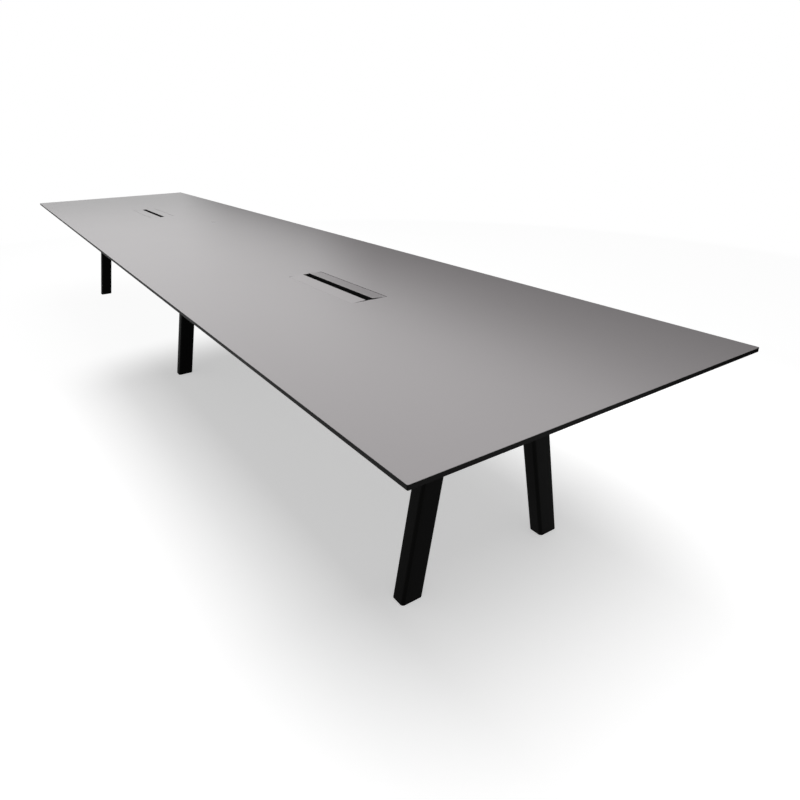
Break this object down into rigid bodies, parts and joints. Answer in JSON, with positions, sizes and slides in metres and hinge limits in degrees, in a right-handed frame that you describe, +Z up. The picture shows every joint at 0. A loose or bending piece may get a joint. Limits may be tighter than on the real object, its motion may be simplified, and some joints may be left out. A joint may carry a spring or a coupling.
{
  "type": "conference table",
  "caption": "Long rectangular conference table with a thin grey, black-cored top, flap-covered cable ports and pairs of black legs leaning in towards a steel underframe.",
  "frame": {"origin": "on the floor, under the middle of the table top", "axes": "+X along the table towards its near end, +Y across it to the right-hand long edge, +Z up"},
  "size_m": [5.4, 1.2, 0.7491],
  "materials": {
    "decor_face": "matt grey compact laminate decor",
    "black_core": "sanded black compact laminate core",
    "powder_coat": "fine textured black powder coat on steel",
    "black_plastic": "moulded black nylon",
    "pin_steel": "ground steel"
  },
  "bodies": {
    "table": {"top_core": "black_core", "top_face": "decor_face", "near_cable_tray": "powder_coat", "far_cable_tray": "powder_coat", "near_left_leg": "powder_coat", "near_left_foot_cap": "black_plastic", "near_right_leg": "powder_coat", "near_right_foot_cap": "black_plastic", "middle_left_leg": "powder_coat", "middle_left_foot_cap": "black_plastic", "middle_right_leg": "powder_coat", "middle_right_foot_cap": "black_plastic", "far_left_leg": "powder_coat", "far_left_foot_cap": "black_plastic", "far_right_leg": "powder_coat", "far_right_foot_cap": "black_plastic", "near_cross_beam": "powder_coat", "middle_cross_beam": "powder_coat", "far_cross_beam": "powder_coat", "near_left_rail": "powder_coat", "near_left_end_rail": "powder_coat", "near_left_arm_1": "powder_coat", "near_left_arm_2": "powder_coat", "near_right_rail": "powder_coat", "near_right_end_rail": "powder_coat", "near_right_arm_1": "powder_coat", "near_right_arm_2": "powder_coat", "far_left_rail": "powder_coat", "far_left_end_rail": "powder_coat", "far_left_arm_1": "powder_coat", "far_left_arm_2": "powder_coat", "far_right_rail": "powder_coat", "far_right_end_rail": "powder_coat", "far_right_arm_1": "powder_coat", "far_right_arm_2": "powder_coat"},
    "near_left_flap": {"near_left_flap_core": "black_core", "near_left_flap_face": "decor_face", "near_left_flap_near_pin": "pin_steel", "near_left_flap_far_pin": "pin_steel"},
    "near_right_flap": {"near_right_flap_core": "black_core", "near_right_flap_face": "decor_face", "near_right_flap_near_pin": "pin_steel", "near_right_flap_far_pin": "pin_steel"},
    "far_left_flap": {"far_left_flap_core": "black_core", "far_left_flap_face": "decor_face", "far_left_flap_near_pin": "pin_steel", "far_left_flap_far_pin": "pin_steel"},
    "far_right_flap": {"far_right_flap_core": "black_core", "far_right_flap_face": "decor_face", "far_right_flap_near_pin": "pin_steel", "far_right_flap_far_pin": "pin_steel"},
    "near_left_glide": {"near_left_glide": "black_plastic"},
    "near_right_glide": {"near_right_glide": "black_plastic"},
    "middle_left_glide": {"middle_left_glide": "black_plastic"},
    "middle_right_glide": {"middle_right_glide": "black_plastic"},
    "far_left_glide": {"far_left_glide": "black_plastic"},
    "far_right_glide": {"far_right_glide": "black_plastic"}
  },
  "joints": [
    {"name": "near_left_flap_hinge", "type": "hinge", "parent": "table", "child": "near_left_flap", "pos_m": [1.365, -0.0615, 0.738], "axis": [1, 0, 0], "range_deg": [-2.5, 117.5]},
    {"name": "near_right_flap_hinge", "type": "hinge", "parent": "table", "child": "near_right_flap", "pos_m": [1.365, 0.0615, 0.738], "axis": [-1, 0, 0], "range_deg": [-5, 115]},
    {"name": "far_left_flap_hinge", "type": "hinge", "parent": "table", "child": "far_left_flap", "pos_m": [-1.365, -0.0615, 0.738], "axis": [1, 0, 0], "range_deg": [0, 120]},
    {"name": "far_right_flap_hinge", "type": "hinge", "parent": "table", "child": "far_right_flap", "pos_m": [-1.365, 0.0615, 0.738], "axis": [-1, 0, 0], "range_deg": [0, 120]},
    {"name": "near_left_glide_screw", "type": "slide", "parent": "table", "child": "near_left_glide", "axis": [0, 0, -1], "range_m": [0, 0.012]},
    {"name": "near_right_glide_screw", "type": "slide", "parent": "table", "child": "near_right_glide", "axis": [0, 0, -1], "range_m": [0, 0.012]},
    {"name": "middle_left_glide_screw", "type": "slide", "parent": "table", "child": "middle_left_glide", "axis": [0, 0, -1], "range_m": [0, 0.012]},
    {"name": "middle_right_glide_screw", "type": "slide", "parent": "table", "child": "middle_right_glide", "axis": [0, 0, -1], "range_m": [0, 0.012]},
    {"name": "far_left_glide_screw", "type": "slide", "parent": "table", "child": "far_left_glide", "axis": [0, 0, -1], "range_m": [0, 0.012]},
    {"name": "far_right_glide_screw", "type": "slide", "parent": "table", "child": "far_right_glide", "axis": [0, 0, -1], "range_m": [0, 0.012]}
  ]
}
